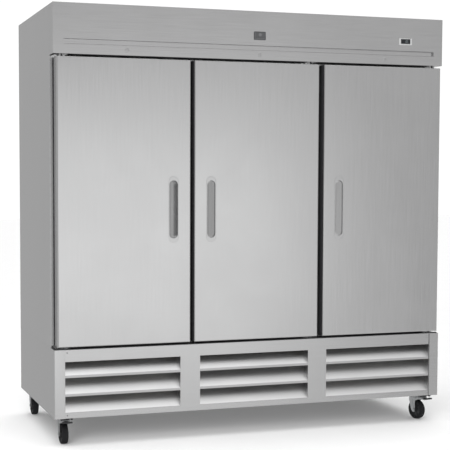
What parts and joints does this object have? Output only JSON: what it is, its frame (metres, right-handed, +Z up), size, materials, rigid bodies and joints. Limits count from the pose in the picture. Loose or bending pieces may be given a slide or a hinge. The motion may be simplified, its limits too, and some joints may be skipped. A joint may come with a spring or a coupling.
{
  "type": "reach-in refrigerator",
  "caption": "Tall insulated stainless cabinet with swing doors, wire shelves, header control and a louvred machine base on swivel casters, for chilled food storage.",
  "frame": {"origin": "bottom centre of the bounding box, on the floor under the middle of the cabinet", "axes": "+X to the right facing the doors, +Y to the back, +Z up"},
  "size_m": [2.08, 0.88, 2.122],
  "materials": {
    "stainless": "satin",
    "stainless_dark": "satin",
    "galvanized": "matte",
    "aluminium": "satin",
    "zinc": "satin",
    "foam": "matte",
    "gasket": "matte",
    "black_plastic": "satin",
    "white_plastic": "satin",
    "display": "gloss",
    "badge": "satin",
    "tread": "matte",
    "black_paint": "satin",
    "fins": "matte",
    "coated_wire": "satin"
  },
  "bodies": {
    "cabinet": {"outer_shell": "stainless", "header_panel": "stainless", "base_frame": "stainless", "grille_panel": "stainless", "back_panel": "galvanized", "rear_grille": "galvanized", "condenser_fan_shroud": "galvanized", "insulation": "foam", "inner_liner": "aluminium", "evaporator_housing": "aluminium", "controller_bezel": "white_plastic", "controller_display": "display", "badge_plate": "badge", "power_inlet": "black_plastic", "compressor": "black_paint", "condenser_coil": "fins", "evaporator_coil": "fins", "upper_hinge_left": "zinc", "shelf_left_1": "coated_wire", "shelf_left_2": "coated_wire", "shelf_left_3": "coated_wire", "upper_hinge_middle": "zinc", "shelf_middle_1": "coated_wire", "shelf_middle_2": "coated_wire", "shelf_middle_3": "coated_wire", "upper_hinge_right": "zinc", "shelf_right_1": "coated_wire", "shelf_right_2": "coated_wire", "shelf_right_3": "coated_wire", "caster_front_left_plate": "black_paint", "caster_front_right_plate": "black_paint", "caster_rear_left_plate": "black_paint", "caster_rear_right_plate": "black_paint"},
    "door_left": {"door_left_skin": "stainless", "door_left_core": "aluminium", "door_left_gasket": "gasket", "door_left_handle": "stainless_dark"},
    "door_middle": {"door_middle_skin": "stainless", "door_middle_core": "aluminium", "door_middle_gasket": "gasket", "door_middle_handle": "stainless_dark"},
    "door_right": {"door_right_skin": "stainless", "door_right_core": "aluminium", "door_right_gasket": "gasket", "door_right_handle": "stainless_dark"},
    "lock_left_plug": {"lock_left": "stainless_dark"},
    "lock_middle_plug": {"lock_middle": "stainless_dark"},
    "lock_right_plug": {"lock_right": "stainless_dark"},
    "condenser_fan_rotor": {"condenser_fan": "black_plastic"},
    "evaporator_fan_rotor": {"evaporator_fan": "black_plastic"},
    "front_left_swivel": {"caster_front_left_fork": "zinc"},
    "front_left_roller": {"caster_front_left_wheel": "tread"},
    "front_left_brake": {"caster_front_left_pedal": "black_plastic"},
    "front_right_swivel": {"caster_front_right_fork": "zinc"},
    "front_right_roller": {"caster_front_right_wheel": "tread"},
    "front_right_brake": {"caster_front_right_pedal": "black_plastic"},
    "rear_left_swivel": {"caster_rear_left_fork": "zinc"},
    "rear_left_roller": {"caster_rear_left_wheel": "tread"},
    "rear_right_swivel": {"caster_rear_right_fork": "zinc"},
    "rear_right_roller": {"caster_rear_right_wheel": "tread"}
  },
  "joints": [
    {"name": "door_left_swing", "type": "hinge", "parent": "cabinet", "child": "door_left", "pos_m": [-0.9915, -0.403, 1.177], "axis": [0, 0, 1], "range_deg": [-100, 0], "stiffness_Nm_per_rad": 3},
    {"name": "door_middle_swing", "type": "hinge", "parent": "cabinet", "child": "door_middle", "pos_m": [0.3035, -0.403, 1.177], "axis": [0, 0, 1], "range_deg": [0, 100], "stiffness_Nm_per_rad": 3},
    {"name": "door_right_swing", "type": "hinge", "parent": "cabinet", "child": "door_right", "pos_m": [1.001, -0.403, 1.177], "axis": [0, 0, 1], "range_deg": [0, 100], "stiffness_Nm_per_rad": 3},
    {"name": "lock_left_turn", "type": "hinge", "parent": "cabinet", "child": "lock_left_plug", "pos_m": [-0.678, -0.438, 1.907], "axis": [0, 1, 0], "range_deg": [0, 90]},
    {"name": "lock_middle_turn", "type": "hinge", "parent": "cabinet", "child": "lock_middle_plug", "pos_m": [0.009, -0.438, 1.907], "axis": [0, 1, 0], "range_deg": [0, 90]},
    {"name": "lock_right_turn", "type": "hinge", "parent": "cabinet", "child": "lock_right_plug", "pos_m": [0.704, -0.438, 1.907], "axis": [0, 1, 0], "range_deg": [0, 90]},
    {"name": "condenser_fan_spin", "type": "hinge", "parent": "cabinet", "child": "condenser_fan_rotor", "pos_m": [0, -0.238, 0.2915], "axis": [0, 1, 0], "continuous": true},
    {"name": "evaporator_fan_spin", "type": "hinge", "parent": "cabinet", "child": "evaporator_fan_rotor", "pos_m": [0, 0.062, 1.976], "axis": [0, 1, 0], "continuous": true},
    {"name": "front_left_swivel_turn", "type": "hinge", "parent": "cabinet", "child": "front_left_swivel", "pos_m": [-0.978, -0.38, 0.12], "axis": [0, 0, 1], "continuous": true},
    {"name": "front_left_wheel_roll", "type": "hinge", "parent": "front_left_swivel", "child": "front_left_roller", "pos_m": [-0.978, -0.345, 0.05], "axis": [1, 0, 0], "continuous": true},
    {"name": "front_left_brake_press", "type": "hinge", "parent": "front_left_swivel", "child": "front_left_brake", "pos_m": [-0.978, -0.414, 0.115], "axis": [1, 0, 0], "range_deg": [0, 14]},
    {"name": "front_right_swivel_turn", "type": "hinge", "parent": "cabinet", "child": "front_right_swivel", "pos_m": [0.978, -0.38, 0.12], "axis": [0, 0, 1], "continuous": true},
    {"name": "front_right_wheel_roll", "type": "hinge", "parent": "front_right_swivel", "child": "front_right_roller", "pos_m": [0.97132, -0.34564, 0.05], "axis": [0.9816, 0.1908, 0], "continuous": true},
    {"name": "front_right_brake_press", "type": "hinge", "parent": "front_right_swivel", "child": "front_right_brake", "pos_m": [0.98449, -0.41338, 0.115], "axis": [0.9816, 0.1908, 0], "range_deg": [0, 14]},
    {"name": "rear_left_swivel_turn", "type": "hinge", "parent": "cabinet", "child": "rear_left_swivel", "pos_m": [-0.978, 0.347, 0.12], "axis": [0, 0, 1], "continuous": true},
    {"name": "rear_left_wheel_roll", "type": "hinge", "parent": "rear_left_swivel", "child": "rear_left_roller", "pos_m": [-0.978, 0.382, 0.05], "axis": [1, 0, 0], "continuous": true},
    {"name": "rear_right_swivel_turn", "type": "hinge", "parent": "cabinet", "child": "rear_right_swivel", "pos_m": [0.978, 0.347, 0.12], "axis": [0, 0, 1], "continuous": true},
    {"name": "rear_right_wheel_roll", "type": "hinge", "parent": "rear_right_swivel", "child": "rear_right_roller", "pos_m": [0.978, 0.382, 0.05], "axis": [1, 0, 0], "continuous": true}
  ]
}
